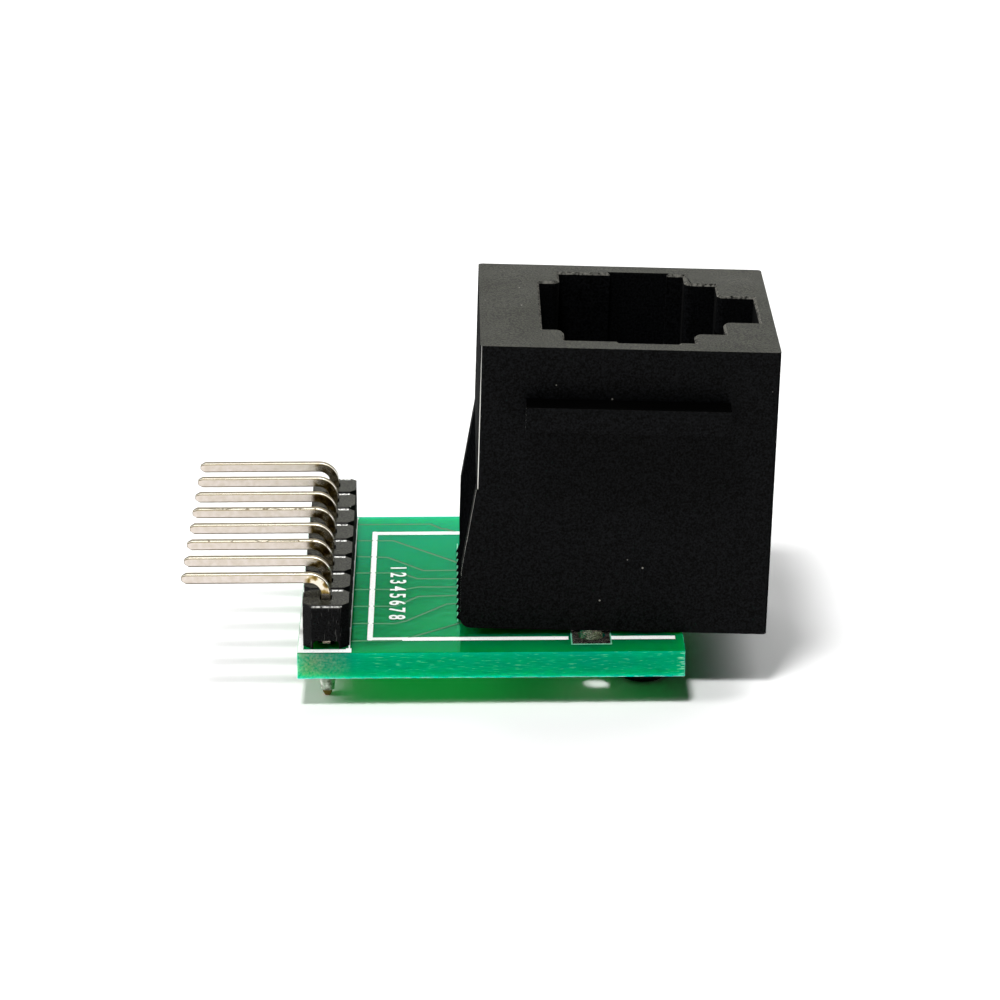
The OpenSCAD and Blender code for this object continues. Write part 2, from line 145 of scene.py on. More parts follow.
def black_polyester(name, grit, relief, rough=0.38, ior=1.105, gloss=0.5,
                    sheen_from=0.0, highlight_strength=0.0, notch_and_end_highlights=False):
    """Glass-filled polyester moulded in a spark-eroded tool.

    It is nearly black, and grey where it mirrors the room at a low angle. Upward faces above a given
    height carry dust and a painted sheen, those below it painted shade, and some edges painted
    highlights. The tool's craters, really about 0.03 mm across, are drawn three times as wide so that
    they show."""
    material, tree = new_material(name)
    place, spot, facing = surface(tree)
    pits = add(tree, "TexNoise", {
        "Vector": place, "Scale": grain(grit), "Detail": 3.0, "Roughness": 0.6})
    patch_noise = add(tree, "TexNoise", {"Vector": place, "Scale": grain(0.2), "Detail": 3.0})
    patches = add(tree, "MapRange", {"Value": patch_noise, "From Min": 0.35, "From Max": 0.62})

    colour_so_far = dust_sheen_and_shade(tree, pits, spot, facing, sheen_from)
    # The mouth's bevels carry a painted highlight.
    colour_so_far = rim_highlight(tree, colour_so_far, patches, spot, facing)
    # A thin pale line along the near left corner is a painted highlight.
    painted_edge_line = corner_highlight(tree, spot, facing, highlight_strength)
    colour_so_far = add(tree, "Mix", {FACTOR: painted_edge_line, FIRST: colour_so_far, SECOND: shade("#e9e9e4")}, data_type="RGBA")
    # The header's notches and near end carry painted highlights.
    if notch_and_end_highlights:
        colour_so_far = notch_highlights(tree, colour_so_far, pits, spot, facing)
        colour_so_far = end_highlights(tree, colour_so_far, patches, place, spot, facing)
    # Specks of dust about 0.1 mm across, one in every 35 mm2.
    specks = add(tree, "TexVoronoi", {"Vector": place, "Scale": grain(1.6), "Randomness": 1.0})
    dust = add(tree, "MapRange", {
        "Value": specks, "From Min": 0.02, "From Max": 0.04, "To Min": 1.0, "To Max": 0.0})
    colour = add(tree, "Mix", {FACTOR: dust, FIRST: colour_so_far, SECOND: shade("#8d8b84")}, data_type="RGBA")

    cloud = add(tree, "TexNoise", {"Vector": place, "Scale": grain(3.5), "Detail": 2.0})
    satin = add(tree, "MapRange", {
        "Value": cloud, "From Min": 0.3, "From Max": 0.7,
        "To Min": rough - 0.05, "To Max": rough + 0.05})
    # The end faces, which the tool's slides left coarse, mirror almost nothing.
    left_face = add(tree, "Math", {0: facing.outputs["X"], 1: -0.9}, operation="LESS_THAN")
    right_face = add(tree, "Math", {0: facing.outputs["X"], 1: 0.5}, operation="GREATER_THAN")
    slide = add(tree, "Math", {0: left_face, 1: right_face}, operation="MAXIMUM")
    roughness = add(tree, "Math", {0: satin, 1: slide}, operation="MAXIMUM")
    bump = add(tree, "Bump", {"Height": pits, "Strength": 0.8, "Distance": relief * MM})
    # The painted highlight on the corner is also made metallic, so that it mirrors the room like a
    # wire.
    add(tree, "OutputMaterial", {"Surface": add(tree, "BsdfPrincipled", {
        "Base Color": colour, "Roughness": roughness, "Metallic": painted_edge_line, "IOR": ior,
        "Specular IOR Level": gloss, "Specular Tint": shade("#fffdf4"), "Normal": bump})})
    return material


def dust_sheen_and_shade(tree, pits, spot, facing, sheen_from):
    """Black plastic. Upward faces above a given height take a film of fine dust and a painted sheen,
    which warm the grey they mirror; upward faces below it are painted near-black, as painted shade.
    """
    body = add(tree, "ValToRGB", {"Fac": pits}, [(0.36, "#000000"), (0.64, "#131416")])
    dust_and_sheen = add(tree, "ValToRGB", {"Fac": pits}, [(0.46, "#000000"), (0.56, "#2e3026")])
    upward = add(tree, "Math", {0: facing.outputs["Z"], 1: 0.9}, operation="GREATER_THAN")
    high = add(tree, "Math", {0: spot.outputs["Z"], 1: sheen_from}, operation="GREATER_THAN")
    upward_sheen_and_shade = add(tree, "Mix", {FACTOR: high, FIRST: shade("#010101"), SECOND: dust_and_sheen}, data_type="RGBA")
    return add(tree, "Mix", {FACTOR: upward, FIRST: body, SECOND: upward_sheen_and_shade}, data_type="RGBA")


def rim_highlight(tree, colour, patches, spot, facing):
    """Painted highlight: the upward-facing bevels of the mouth's rim are painted grey in patches, as
    the glint of the lamp above.
    """
    near_rim = add(tree, "Math", {0: spot.outputs["Z"], 1: MOUTH_RIM}, operation="GREATER_THAN")
    highlit = add(tree, "Math", {0: patches, 1: near_rim}, operation="MULTIPLY")
    bevel_highlight = add(tree, "Math", {0: slanted(tree), 1: highlit}, operation="MULTIPLY")
    rising = add(tree, "MapRange", {"Value": facing.outputs["Z"], "From Min": 0.2, "From Max": 0.4})
    rim_highlight_share = add(tree, "Math", {0: bevel_highlight, 1: rising}, operation="MULTIPLY")
    return add(tree, "Mix", {
        FACTOR: rim_highlight_share, FIRST: colour, SECOND: shade("#6a6963")}, data_type="RGBA")


def slanted(tree):
    """1 on a bevelled or rounded edge, 0 on a face square to the part."""
    normal = add(tree, "NewGeometry").outputs["Normal"]
    size = add(tree, "SeparateXYZ", {
        "Vector": add(tree, "VectorMath", {0: normal}, operation="ABSOLUTE")})
    across = add(tree, "Math", {0: size.outputs["X"], 1: size.outputs["Y"]}, operation="MAXIMUM")
    most = add(tree, "Math", {0: across, 1: size.outputs["Z"]}, operation="MAXIMUM")
    return add(tree, "MapRange", {"Value": most, "From Min": 0.97, "From Max": 0.88})


def corner_highlight(tree, spot, facing, strength):
    """1 along the near left corner, where a thin pale line is painted as the highlight of its rounded
    edge.
    """
    # Only the narrow face that looks both left and towards the front carries it.
    corner_slope = -0.62
    west = add(tree, "Math", {0: facing.outputs["X"], 1: corner_slope}, operation="LESS_THAN")
    south = add(tree, "Math", {0: facing.outputs["Y"], 1: corner_slope}, operation="LESS_THAN")
    corner = add(tree, "Math", {0: west, 1: south}, operation="MULTIPLY")
    near_wall = JACK_FOOT.y - (JACK_HALF_WIDTH - 0.3) * MM
    near = add(tree, "Math", {0: spot.outputs["Y"], 1: near_wall}, operation="LESS_THAN")
    painted_edge_line = add(tree, "Math", {0: corner, 1: near}, operation="MULTIPLY")
    # It thins to a third over the highest 4 mm.
    thinning = HOUSING_HIGH[2] - 4.0 * MM
    full = add(tree, "MapRange", {
        "Value": spot.outputs["Z"], "From Min": HOUSING_HIGH[2], "From Max": thinning,
        "To Min": 0.3, "To Max": strength})
    return add(tree, "Math", {0: painted_edge_line, 1: full}, operation="MULTIPLY")


def notch_highlights(tree, colour, pits, spot, facing):
    """Painted highlight in the strip's notches, one every 2.54 mm: white where they face the front, as
    the lamp's glint.
    """
    # The white lies along each notch's bottom and far flank, over 0.6 mm to the right of the pins.
    notch_share, flank_slope = 0.055, 0.25
    start, stop = PIN_HIGH[0] + 0.05 * MM, PIN_HIGH[0] + 0.65 * MM
    deepest = HEADER_HIGH[2] - 0.8 * MM
    turns = add(tree, "Math", {0: spot.outputs["Y"], 1: PIN_PITCH}, operation="DIVIDE")
    away = add(tree, "Math", {0: turns, 1: 0.5}, operation="PINGPONG")
    notch = add(tree, "Math", {0: away, 1: notch_share}, operation="LESS_THAN")
    behind = add(tree, "Math", {0: spot.outputs["X"], 1: start}, operation="GREATER_THAN")
    ahead = add(tree, "Math", {0: spot.outputs["X"], 1: stop}, operation="LESS_THAN")
    span = add(tree, "Math", {0: behind, 1: ahead}, operation="MULTIPLY")
    top = add(tree, "Math", {0: spot.outputs["Z"], 1: deepest}, operation="GREATER_THAN")
    flank = add(tree, "Math", {0: facing.outputs["Y"], 1: flank_slope}, operation="LESS_THAN")
    lip = add(tree, "Math", {0: top, 1: flank}, operation="MULTIPLY")
    stretch = add(tree, "Math", {0: span, 1: lip}, operation="MULTIPLY")
    # Where the painted highlight lies.
    white = add(tree, "Math", {0: notch, 1: stretch}, operation="MULTIPLY")
    broken = add(tree, "MapRange", {"Value": pits, "From Min": 0.42, "From Max": 0.5})
    streak = add(tree, "Math", {0: white, 1: broken}, operation="MULTIPLY")
    return add(tree, "Mix", {
        FACTOR: streak, FIRST: colour, SECOND: shade("#fbfbf8")}, data_type="RGBA")


def end_highlights(tree, colour, patches, place, spot, facing):
    """The strip's near end: painted highlight lines along its top and beside its right corner, in
    patches, and faint scratches.
    """
    last_skin = HEADER_LOW[1] + 0.12 * MM
    outward = add(tree, "Math", {0: facing.outputs["Y"], 1: -0.45}, operation="LESS_THAN")
    last = add(tree, "Math", {0: spot.outputs["Y"], 1: last_skin}, operation="LESS_THAN")
    end = add(tree, "Math", {0: outward, 1: last}, operation="MULTIPLY")
    # Each line is given by its middle and half its width; the top one starts clear of the left corner.
    top_line, side_line = HEADER_HIGH[2] - 0.07 * MM, HEADER_HIGH[0] - 0.32 * MM
    left_corner = HEADER_LOW[0] + 0.5 * MM
    under = add(tree, "Math", {
        0: spot.outputs["Z"], 1: top_line, 2: 0.05 * MM}, operation="COMPARE")
    beside = add(tree, "Math", {
        0: spot.outputs["X"], 1: side_line, 2: 0.03 * MM}, operation="COMPARE")
    faint = add(tree, "Math", {0: beside, 1: 0.35}, operation="MULTIPLY")
    lines = add(tree, "Math", {0: under, 1: faint}, operation="MAXIMUM")
    inland = add(tree, "Math", {0: spot.outputs["X"], 1: left_corner}, operation="GREATER_THAN")
    line_highlight = add(tree, "Math", {0: lines, 1: inland}, operation="MULTIPLY")
    end_highlight = add(tree, "Math", {0: line_highlight, 1: end}, operation="MULTIPLY")
    ragged = add(tree, "Math", {0: end_highlight, 1: patches}, operation="MULTIPLY")
    highlit = add(tree, "Mix", {
        FACTOR: ragged, FIRST: colour, SECOND: shade("#c8c8c4")}, data_type="RGBA")
    # Faint slanting scratches, eight times as long as they are wide.
    slant = add(tree, "Mapping", {
        "Vector": place, "Rotation": (0.0, -0.7, 0.0), "Scale": (1.0, 1.0, 0.12)})
    hair = add(tree, "TexNoise", {"Vector": slant, "Scale": grain(0.09), "Detail": 2.0})
    scratch = add(tree, "MapRange", {"Value": hair, "From Min": 0.6, "From Max": 0.7, "To Max": 0.4})
    crossed = add(tree, "Math", {0: scratch, 1: end}, operation="MULTIPLY")
    return add(tree, "Mix", {
        FACTOR: crossed, FIRST: highlit, SECOND: shade("#5a5a58")}, data_type="RGBA")


# ---- the printed board ----

def solder_mask_board():
    """FR4 glass laminate under glossy green solder mask.

    Light passes through it and glows at its sawn edges."""
    material, tree = new_material("fr4_with_green_solder_mask")
    place, spot, facing = surface(tree)
    either_way = add(tree, "Math", {0: facing.outputs["Z"]}, operation="ABSOLUTE")
    flat = add(tree, "Math", {0: either_way, 1: 0.6}, operation="GREATER_THAN")
    upper = add(tree, "Math", {0: facing.outputs["Z"], 1: 0.6}, operation="GREATER_THAN")
    cloud = add(tree, "TexNoise", {"Vector": place, "Scale": grain(2.0), "Detail": 3.0})
    near_mask = add(tree, "ValToRGB", {"Fac": cloud}, [(0.3, "#006f33"), (0.7, "#02753a")])
    # Painted light: the mask is painted a lighter green towards the far edge, where it glows brighter.
    far_glow = add(tree, "MapRange", {
        "Value": spot.outputs["Y"], "From Min": BOARD_LOW[1] + 9.0 * MM, "From Max": BOARD_HIGH[1]})
    mask = add(tree, "Mix", {
        FACTOR: far_glow, FIRST: near_mask, SECOND: shade("#009762")}, data_type="RGBA")

    # Glass bundles about 0.07 mm thick lie along the sawn edges in pale broken streaks.
    along = add(tree, "Mapping", {"Vector": place, "Scale": (0.12, 0.12, 1.0)})
    fibre = add(tree, "TexNoise", {"Vector": along, "Scale": grain(0.07), "Detail": 3.0})
    edge = glass_edge(tree, fibre, place, spot)

    # Handling has dulled the mask more and more towards the near edge.
    gloss = add(tree, "MapRange", {
        "Value": spot.outputs["Y"], "From Min": BOARD_LOW[1], "From Max": BOARD_HIGH[1],
        "To Min": 0.12, "To Max": 0.62})
    mirror = add(tree, "Math", {0: upper, 1: gloss}, operation="MULTIPLY")
    rough = add(tree, "MapRange", {"Value": flat, "To Min": 0.5, "To Max": 0.07})
    saw_marks = add(tree, "Bump", {"Height": fibre, "Strength": 0.3, "Distance": 0.01 * MM})
    add(tree, "OutputMaterial", {"Surface": add(tree, "BsdfPrincipled", {
        "Base Color": add(tree, "Mix", {FACTOR: flat, FIRST: edge, SECOND: mask}, data_type="RGBA"),
        "Roughness": rough, "Metallic": mirror,
        "Specular IOR Level": 0.0, "Specular Tint": shade("#daffff"),
        "Subsurface Weight": 1.0, "Subsurface Radius": (0.05, 1.0, 0.35), "Subsurface Scale": 6.0 * MM,
        "Normal": saw_marks})})
    return material


def glass_edge(tree, fibre, place, spot):
    """The laminate's cut edges: sawn, painted paler at the left end as light from the left, chipped at
    the right, painted darker towards the foot, fringed below.
    """
    sawn = add(tree, "ValToRGB", {"Fac": fibre}, [
        (0.35, "#008a6a"), (0.58, "#009678"), (0.76, "#66b898")])
    # Towards the left end the edge is painted paler and greyer, as painted light from the left, in a
    # torn-glass pattern.
    lit_left_end = add(tree, "MapRange", {
        "Value": spot.outputs["X"],
        "From Min": BOARD_LOW[0] + 3.0 * MM, "From Max": BOARD_LOW[0] + 0.5 * MM})
    tear = add(tree, "TexNoise", {"Vector": place, "Scale": grain(0.5), "Detail": 4.0})
    lit_and_torn = add(tree, "Math", {0: lit_left_end, 1: tear}, operation="MULTIPLY")
    splinters = add(tree, "TexNoise", {"Vector": place, "Scale": grain(0.15), "Detail": 4.0})
    split = add(tree, "ValToRGB", {"Fac": splinters}, [
        (0.38, "#3d7a58"), (0.5, "#8f917e"), (0.62, "#b3a596")])
    edge = add(tree, "Mix", {FACTOR: lit_and_torn, FIRST: sawn, SECOND: split}, data_type="RGBA")
    # The saw chipped the last half millimetre of the right end.
    chipped_end = add(tree, "MapRange", {
        "Value": spot.outputs["X"], "From Min": BOARD_HIGH[0] - 0.5 * MM, "From Max": BOARD_HIGH[0]})
    chips = add(tree, "MapRange", {"Value": fibre, "From Min": 0.5, "From Max": 0.62})
    chipped = add(tree, "Math", {0: chipped_end, 1: chips}, operation="MULTIPLY")
    edge = add(tree, "Mix", {FACTOR: chipped, FIRST: edge, SECOND: shade("#b4dcc2")}, data_type="RGBA")
    # The edge is painted darker towards its foot, as painted shade; along the foot the saw left a pale
    # fringe of glass 0.06 mm high.
    base = add(tree, "MapRange", {
        "Value": spot.outputs["Z"], "From Min": BOARD_LOW[2] + 0.5 * MM, "From Max": BOARD_LOW[2],
        "To Max": 0.75})
    edge = add(tree, "Mix", {FACTOR: base, FIRST: edge, SECOND: shade("#00604a")}, data_type="RGBA")
    low = add(tree, "Math", {0: spot.outputs["Z"], 1: BOARD_LOW[2] + 0.06 * MM}, operation="LESS_THAN")
    loose_glass = add(tree, "MapRange", {
        "Value": tear, "From Min": 0.45, "From Max": 0.6, "To Max": 0.5})
    fringe = add(tree, "Math", {0: low, 1: loose_glass}, operation="MULTIPLY")
    return add(tree, "Mix", {FACTOR: fringe, FIRST: edge, SECOND: shade("#8ed0a8")}, data_type="RGBA")


def printed_ink():
    """Screen-printed epoxy ink: matt white, a little thin where the mesh pressed."""
    material, tree = new_material("white_legend_ink")
    place = add(tree, "TexCoord").outputs["Object"]
    mesh = add(tree, "TexNoise", {"Vector": place, "Scale": grain(0.12), "Detail": 2.0})
    colour = add(tree, "ValToRGB", {"Fac": mesh}, [(0.25, "#cfe0d6"), (0.45, "#f4f6f4")])
    bump = add(tree, "Bump", {"Height": mesh, "Strength": 0.4, "Distance": 0.008 * MM})
    add(tree, "OutputMaterial", {"Surface": add(tree, "BsdfPrincipled", {
        "Base Color": colour, "Roughness": 0.55, "Normal": bump})})
    return material


def masked_copper(name, dark, light):
    """Solder mask over a copper track, or heaped at an opening, or pale as a painted highlight: duller
    or paler than elsewhere.
    """
    material, tree = new_material(name)
    place = add(tree, "TexCoord").outputs["Object"]
    cloud = add(tree, "TexNoise", {"Vector": place, "Scale": grain(0.8), "Detail": 2.0})
    colour = add(tree, "ValToRGB", {"Fac": cloud}, [(0.3, dark), (0.7, light)])
    add(tree, "OutputMaterial", {"Surface": add(tree, "BsdfPrincipled", {
        "Base Color": colour, "Roughness": 0.12, "Specular IOR Level": 0.0, "Metallic": 0.38})})
    return material


# ---- metals ----

def drawn_metal(name, dark, light, rough, size, relief, stretch=(1.0, 1.0, 1.0)):
    """Plated or soldered metal: bright, with fine marks along the way it was drawn."""
    material, tree = new_material(name)
    place = add(tree, "TexCoord").outputs["Object"]
    along = add(tree, "Mapping", {"Vector": place, "Scale": stretch})
    marks = add(tree, "TexNoise", {
        "Vector": along, "Scale": grain(size), "Detail": 4.0, "Roughness": 0.6})
    colour = add(tree, "ValToRGB", {"Fac": marks}, [(0.35, dark), (0.6, light)])
    roughness = add(tree, "MapRange", {
        "Value": marks, "From Min": 0.3, "From Max": 0.7,
        "To Min": rough * 1.3, "To Max": rough * 0.7})
    bump = add(tree, "Bump", {"Height": marks, "Strength": 0.5, "Distance": relief * MM})
    add(tree, "OutputMaterial", {"Surface": add(tree, "BsdfPrincipled", {
        "Base Color": colour, "Roughness": roughness, "Metallic": 1.0, "Normal": bump})})
    return material


def stamped_pin():
    """Tin-flashed brass stamped from strip.

    Its rolled faces are bright and its sheared sides duller; its edges, bends and farther legs are
    painted dark and brown, as painted reflection and painted shade."""
    material, tree = new_material("tin_flashed_brass")
    place, spot, facing = surface(tree)
    sideways = add(tree, "Math", {0: facing.outputs["Y"]}, operation="ABSOLUTE")
    side = add(tree, "Math", {0: sideways, 1: 0.85}, operation="GREATER_THAN")
    slant = add(tree, "Math", {0: sideways, 1: 0.4}, operation="GREATER_THAN")
    edge = pin_edge_dark_reflection(tree, spot, side, slant)

    along = add(tree, "Mapping", {"Vector": place, "Scale": (0.15, 1.0, 1.0)})
    rolled = add(tree, "TexNoise", {"Vector": along, "Scale": grain(0.12), "Detail": 3.0})
    mottle = add(tree, "TexNoise", {"Vector": place, "Scale": grain(0.3), "Detail": 4.0})
    bright = add(tree, "ValToRGB", {"Fac": rolled}, [(0.3, "#efe6d2"), (0.5, "#fdfaf1")])
    sheared = add(tree, "ValToRGB", {"Fac": mottle}, [(0.35, "#c3b8ab"), (0.65, "#d0c6be")])
    nick = struck_nicks(tree, place, spot)
    nicked = add(tree, "Mix", {
        FACTOR: nick, FIRST: bright, SECOND: shade("#6f6656")}, data_type="RGBA")
    faces = add(tree, "Mix", {FACTOR: side, FIRST: nicked, SECOND: sheared}, data_type="RGBA")

    # The sides of the bends are painted brown with gold glints, a painted reflection of the black
    # plastic and the neighbouring pins.
    bend = add(tree, "MapRange", {
        "Value": spot.outputs["X"], "From Min": PIN_BEND, "From Max": PIN_BEND + 0.25 * MM})
    # The upright legs of the farther pins are painted the same, as painted shade between the pins; the
    # nearest pin's leg stays bright.
    leg_top, second_pin = PIN_HIGH[2] - 1.1 * MM, BOARD_LOW[1] + 2.8 * MM
    arm = add(tree, "Math", {0: spot.outputs["Z"], 1: leg_top}, operation="GREATER_THAN")
    farther = add(tree, "Math", {0: spot.outputs["Y"], 1: second_pin}, operation="GREATER_THAN")
    painted_dark_zone = add(tree, "Math", {0: arm, 1: farther}, operation="MAXIMUM")
    bend_painted_dark = add(tree, "Math", {0: bend, 1: painted_dark_zone}, operation="MULTIPLY")
    side_painted_dark = add(tree, "Math", {0: bend_painted_dark, 1: side}, operation="MULTIPLY")
    bend_noise = add(tree, "TexNoise", {"Vector": place, "Scale": grain(0.5), "Detail": 2.0})
    bend_reflection = add(tree, "ValToRGB", {"Fac": bend_noise}, [
        (0.36, "#54401f"), (0.46, "#9a8349"), (0.56, "#e6dccb")])
    with_bend_reflection = add(tree, "Mix", {FACTOR: side_painted_dark, FIRST: faces, SECOND: bend_reflection}, data_type="RGBA")
    # The edges are painted dark, a painted reflection.
    dark_edged = add(tree, "Mix", {FACTOR: edge, FIRST: with_bend_reflection, SECOND: shade("#5f5640")}, data_type="RGBA")
    # Below the board the cut end shows bare brass.
    tail = add(tree, "MapRange", {
        "Value": spot.outputs["Z"], "From Min": BOARD_LOW[2], "From Max": BOARD_LOW[2] - 0.3 * MM})
    colour = add(tree, "Mix", {FACTOR: tail, FIRST: dark_edged, SECOND: shade("#7c6636")}, data_type="RGBA")

    roughness = add(tree, "MapRange", {"Value": edge, "To Min": 0.16, "To Max": 0.5})
    bump = add(tree, "Bump", {"Height": rolled, "Strength": 0.3, "Distance": 0.004 * MM})
    add(tree, "OutputMaterial", {"Surface": add(tree, "BsdfPrincipled", {
        "Base Color": colour, "Roughness": roughness, "Metallic": 1.0, "Normal": bump})})
    return material


def pin_edge_dark_reflection(tree, spot, side, slant):
    """1 along a pin's edges, painted dark as the reflection of the dark room and the shaded floor: its
    corners, lines on top beside them, and the foot of its sides.
    """
    corner = add(tree, "Math", {0: slant, 1: side}, operation="SUBTRACT")
    # The line beside each corner is 0.06 mm wide, measured from the middle of the pin.
    turns = add(tree, "Math", {0: spot.outputs["Y"], 1: PIN_PITCH}, operation="DIVIDE")
    away = add(tree, "Math", {0: turns, 1: 1.0}, operation="PINGPONG")
    off_middle = add(tree, "Math", {0: away, 1: 0.5}, operation="SUBTRACT")
    reach = add(tree, "Math", {0: off_middle}, operation="ABSOLUTE")
    line_from = (PIN_SIDE / 2 - 0.06 * MM) / PIN_PITCH
    outer = add(tree, "Math", {0: reach, 1: line_from}, operation="GREATER_THAN")
    top = add(tree, "Math", {0: 1.0, 1: slant}, operation="SUBTRACT")
    line = add(tree, "Math", {0: outer, 1: top}, operation="MULTIPLY")
    # The lowest 0.07 mm of the sides, as far as the bend, is painted dark, a painted reflection of the
    # shaded floor below.
    dark_foot_top = PIN_HIGH[2] - PIN_SIDE + 0.07 * MM
    foot = add(tree, "Math", {0: spot.outputs["Z"], 1: dark_foot_top}, operation="LESS_THAN")
    straight = add(tree, "Math", {0: spot.outputs["X"], 1: PIN_BEND}, operation="LESS_THAN")
    painted_edge_line = add(tree, "Math", {0: foot, 1: straight}, operation="MULTIPLY")
    rims = add(tree, "Math", {0: corner, 1: line}, operation="MAXIMUM")
    return add(tree, "Math", {0: rims, 1: painted_edge_line}, operation="MAXIMUM")


def struck_nicks(tree, place, spot):
    """1 in the handling nicks of the third and fifth pins: broken lines about 1.3 mm apart."""
    cells = add(tree, "TexVoronoi", {"Vector": place, "Scale": grain(1.3)}, feature="DISTANCE_TO_EDGE")
    crack = add(tree, "MapRange", {
        "Value": cells, "From Min": 0.02, "From Max": 0.04, "To Min": 1.0, "To Max": 0.0})
    third, fifth = (
        add(tree, "Math", {
            0: spot.outputs["Y"], 1: (low[1] + high[1]) / 2, 2: PIN_SIDE}, operation="COMPARE")
        for low, high in (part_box("header_pin_3"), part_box("header_pin_5")))
    struck = add(tree, "Math", {0: third, 1: fifth}, operation="MAXIMUM")
    return add(tree, "Math", {0: crack, 1: struck}, operation="MULTIPLY")


# Above the mouth's rim the housing's upward faces take dust and a painted sheen; below it, as on the
# rail's ledge, painted shade.
housing_plastic = black_polyester(
    "black_polyester_housing", grit=0.1, relief=0.025, sheen_from=MOUTH_RIM, highlight_strength=0.9)
# The strip is nylon, glossier than the housing, and was snapped off a longer one.
# All its upward faces take dust and a painted sheen.
header_plastic = black_polyester(
    "black_nylon_header", grit=0.1, relief=0.02, rough=0.22, ior=1.118, notch_and_end_highlights=True)
# The film would start a metre up, so none lies on the carrier, deep in the jack: all its upward faces
# take the painted shade, and with no specular it mirrors nothing and stays black, as painted shade.
carrier_plastic = black_polyester(
    "black_polyester_carrier", grit=0.14, relief=0.02, rough=0.5, gloss=0.0, sheen_from=1.0)
board_finish = solder_mask_board()
ink = printed_ink()
trace_finish = masked_copper("solder_mask_over_copper", "#37694a", "#2c7049")
# Pale: heaped mask round the pads, and a painted highlight along the comb's foot.
rim_finish = masked_copper("solder_mask_rim", "#5fc79a", "#8fe0bd")
pin_finish = stamped_pin()
# Warm, with faint lines along the wire.
wire_finish = drawn_metal(
    "gold_plated_bronze", "#cfa552", "#e8c983", rough=0.18, size=0.15, relief=0.004,
    stretch=(1.0, 1.0, 0.2))
# Bright and wavy, with dark hollows, as solder freezes.
solder_finish = drawn_metal(
    "tin_lead_solder", "#6e6a60", "#f2f1ec", rough=0.16, size=0.4, relief=0.05)
# Lumpy, as the hot-air knife left the tin.
pad_finish = drawn_metal(
    "levelled_tin_pad", "#5c5a50", "#f0eadc", rough=0.25, size=0.22, relief=0.2)


# ---- making pieces ----

def select_only(piece):
    bpy.ops.object.select_all(action="DESELECT")
    piece.select_set(True)
    bpy.context.view_layer.objects.active = piece


def worked_copy(node, name):
    """A merged copy of a CAD node with its flat faces whole again, ready to bevel."""
    piece = bpy.data.objects.new(name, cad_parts[node].data.copy())
    piece.data.name = name
    bpy.context.collection.objects.link(piece)
    select_only(piece)
    bpy.ops.mesh.customdata_custom_splitnormals_clear()
    bpy.ops.object.mode_set(mode="EDIT")
    bpy.ops.mesh.select_all(action="SELECT")
    bpy.ops.mesh.remove_doubles(threshold=0.002 * MM)
    bpy.ops.mesh.dissolve_limited(angle_limit=math.radians(0.5))
    bpy.ops.object.mode_set(mode="OBJECT")
    return piece


def bevel_where(piece, choose, width, segments):
    """Bevels the edges that choose(edge) picks, by a width in mm."""
    select_only(piece)
    bpy.ops.object.mode_set(mode="EDIT")
    bpy.ops.mesh.select_all(action="DESELECT")
    shape = bmesh.from_edit_mesh(piece.data)
    for edge in shape.edges:
        if len(edge.link_faces) == 2 and choose(edge):
            edge.select_set(True)
    bmesh.update_edit_mesh(piece.data)
    bpy.ops.mesh.bevel(
        offset=width * MM, offset_type="OFFSET", segments=segments, affect="EDGES", clamp_overlap=True)
    bpy.ops.object.mode_set(mode="OBJECT")


def sharp(edge, degrees=30):
    return edge.calc_face_angle_signed(0) > math.radians(degrees)


def smooth(piece, degrees=40):
    select_only(piece)
    bpy.ops.object.shade_smooth_by_angle(angle=math.radians(degrees))
    even = piece.modifiers.new("even", "WEIGHTED_NORMAL")
    even.keep_sharp = True
    bpy.ops.object.modifier_apply(modifier=even.name)


def drill_out(piece, tool):
    """Cuts the tool's shape out of the piece."""
    select_only(piece)
    knife = piece.modifiers.new("cut", "BOOLEAN")
    knife.operation, knife.object, knife.solver = "DIFFERENCE", tool, "EXACT"
    bpy.ops.object.modifier_apply(modifier=knife.name)


def dress(piece, finish, slot, *nodes):
    """Gives a finished piece its material and its body, and hides the CAD nodes it stands for. Its
    slot is not used.
    """
    piece.data.materials.clear()
    piece.data.materials.append(finish)
    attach(piece, "root")
    if nodes:
        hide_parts(*nodes)
    piece.select_set(False)


# ---- the jack ----

# How near an edge lies to one of the jack's outer walls to be taken for its own, in mm.
WALL_SKIN = 0.3


def mouth_edge(edge):
    """An edge between the mouth's flat face and a wall of the opening."""
    ends = [in_jack(v.co) for v in edge.verts]
    return sharp(edge, 60) and all(
        p.z > JACK_HEIGHT - 0.02
        and WALL_SKIN < p.x < JACK_LENGTH - WALL_SKIN
        and abs(p.y) < JACK_HALF_WIDTH - WALL_SKIN for p in ends)


def left_edge(edge):
    """A sharp upright edge of the housing's left side, over 1 mm tall."""
    ends = [in_jack(v.co) for v in edge.verts]
    on_corner = all(abs(p.y) > JACK_HALF_WIDTH - 0.2 and p.x < WALL_SKIN for p in ends)
    return on_corner and abs(ends[0].z - ends[1].z) > 1 and sharp(edge)


def outer_edge(edge):
    """A sharp edge of the housing's outside."""
    ends = [in_jack(v.co) for v in edge.verts]
    outside = all(
        abs(p.y) > JACK_HALF_WIDTH - 0.1
        or p.x > JACK_LENGTH - WALL_SKIN
        or p.x < WALL_SKIN for p in ends)
    return outside and sharp(edge) and not left_edge(edge)


housing = worked_copy("jack_housing", "housing")
bevel_where(housing, mouth_edge, width=0.16, segments=1)
bevel_where(housing, left_edge, width=0.07, segments=1)
bevel_where(housing, outer_edge, width=0.15, segments=3)
smooth(housing)
dress(housing, housing_plastic, "housing_plastic", "jack_housing")

carrier = worked_copy("contact_carrier", "comb_carrier")
smooth(carrier)
dress(carrier, carrier_plastic, "carrier_plastic", "contact_carrier")

